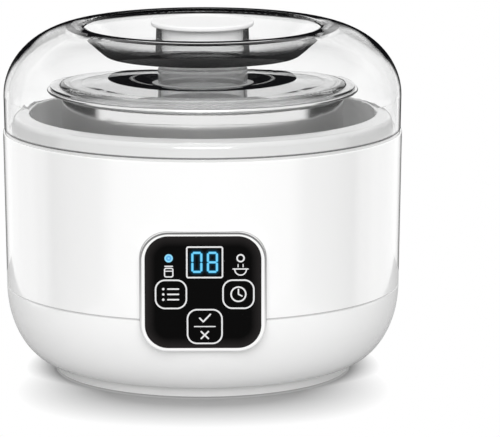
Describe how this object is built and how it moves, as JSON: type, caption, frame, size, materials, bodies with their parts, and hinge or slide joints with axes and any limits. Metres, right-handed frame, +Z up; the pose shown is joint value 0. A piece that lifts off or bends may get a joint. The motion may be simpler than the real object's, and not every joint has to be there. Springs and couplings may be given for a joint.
{
  "type": "yogurt maker",
  "caption": "Round white yogurt maker with a heated well, a lift-out steel pot with a clear lid, a clear dome with a grip, and a black push-key panel with a digit display.",
  "frame": {"origin": "centre of the footprint on the table", "axes": "+Z up, control panel facing -Y, power inlet at +Y"},
  "size_m": [0.201, 0.2018, 0.1772],
  "materials": {
    "housing_white": "glossy white",
    "base_grey": "satin white",
    "foot_rubber": "matte grey",
    "screw_steel": "plated",
    "well_aluminium": "satin anodised",
    "felt": "needle felt",
    "heater_film": "amber film",
    "sensor_metal": "satin",
    "spring_steel": "rolled",
    "pot_steel": "polished stainless",
    "lid_clear": "clear moulded",
    "silicone": "translucent white",
    "dome_clear": "clear moulded",
    "cap_white": "glossy white",
    "panel_white": "glossy white",
    "panel_black": "gloss black",
    "window_tint": "smoked",
    "display_block": "matte black",
    "board_green": "solder mask",
    "switch_black": "matte",
    "inlet_black": "fine grain",
    "pin_brass": "bright",
    "transformer_core": "taped winding",
    "relay_blue": "matte",
    "capacitor_sleeve": "sleeved",
    "wire_red": "insulated",
    "wire_white": "insulated",
    "ribbon_grey": "flat cable",
    "key_black": "gloss black",
    "lamp_blue": "lit blue lens",
    "lamp_clear": "unlit lens"
  },
  "bodies": {
    "base": {"upper_housing": "housing_white", "lower_housing": "housing_white", "base_plate": "base_grey", "rubber_feet": "foot_rubber", "base_screws": "screw_steel", "shell_screws": "screw_steel", "deck_ring": "housing_white", "heating_chamber": "well_aluminium", "chamber_screws": "screw_steel", "insulation_sleeve": "felt", "heater_pad": "heater_film", "heater_cover": "well_aluminium", "temperature_sensor": "sensor_metal", "sensor_clip": "spring_steel", "thermal_fuse": "sensor_metal", "control_frame": "panel_white", "control_face": "panel_black", "display_window": "window_tint", "led_display": "display_block", "control_board": "board_green", "board_screws": "screw_steel", "tact_switches": "switch_black", "power_inlet": "inlet_black", "inlet_pins": "pin_brass", "power_board": "board_green", "power_board_screws": "screw_steel", "transformer": "transformer_core", "heater_relay": "relay_blue", "filter_capacitor": "capacitor_sleeve", "mains_leads": "wire_red", "heater_leads": "wire_white", "sensor_lead": "wire_white", "panel_ribbon": "ribbon_grey", "left_indicator": "lamp_blue", "right_indicator": "lamp_clear"},
    "pot": {"inner_pot": "pot_steel"},
    "pot_cover": {"pot_lid": "lid_clear", "pot_lid_seal": "silicone"},
    "dome": {"dome_lid": "dome_clear", "lid_cap": "cap_white"},
    "mode_key": {"mode_button": "key_black"},
    "time_key": {"time_button": "key_black"},
    "start_key": {"start_button": "key_black"}
  },
  "joints": [
    {"name": "pot_lift", "type": "slide", "parent": "base", "child": "pot", "axis": [0, 0, 1], "range_m": [0, 0.12]},
    {"name": "pot_lid_lift", "type": "slide", "parent": "pot", "child": "pot_cover", "axis": [0, 0, 1], "range_m": [0, 0.06]},
    {"name": "dome_lift", "type": "slide", "parent": "pot_cover", "child": "dome", "axis": [0, 0, 1], "range_m": [0, 0.1]},
    {"name": "mode_press", "type": "slide", "parent": "base", "child": "mode_key", "axis": [0, 1, 0], "range_m": [0, 0.0006], "stiffness_N_per_m": 1200, "springref_m": -0.0004},
    {"name": "time_press", "type": "slide", "parent": "base", "child": "time_key", "axis": [0, 1, 0], "range_m": [0, 0.0006], "stiffness_N_per_m": 1200, "springref_m": -0.0004},
    {"name": "start_press", "type": "slide", "parent": "base", "child": "start_key", "axis": [0, 1, 0], "range_m": [0, 0.0006], "stiffness_N_per_m": 1200, "springref_m": -0.0004}
  ]
}
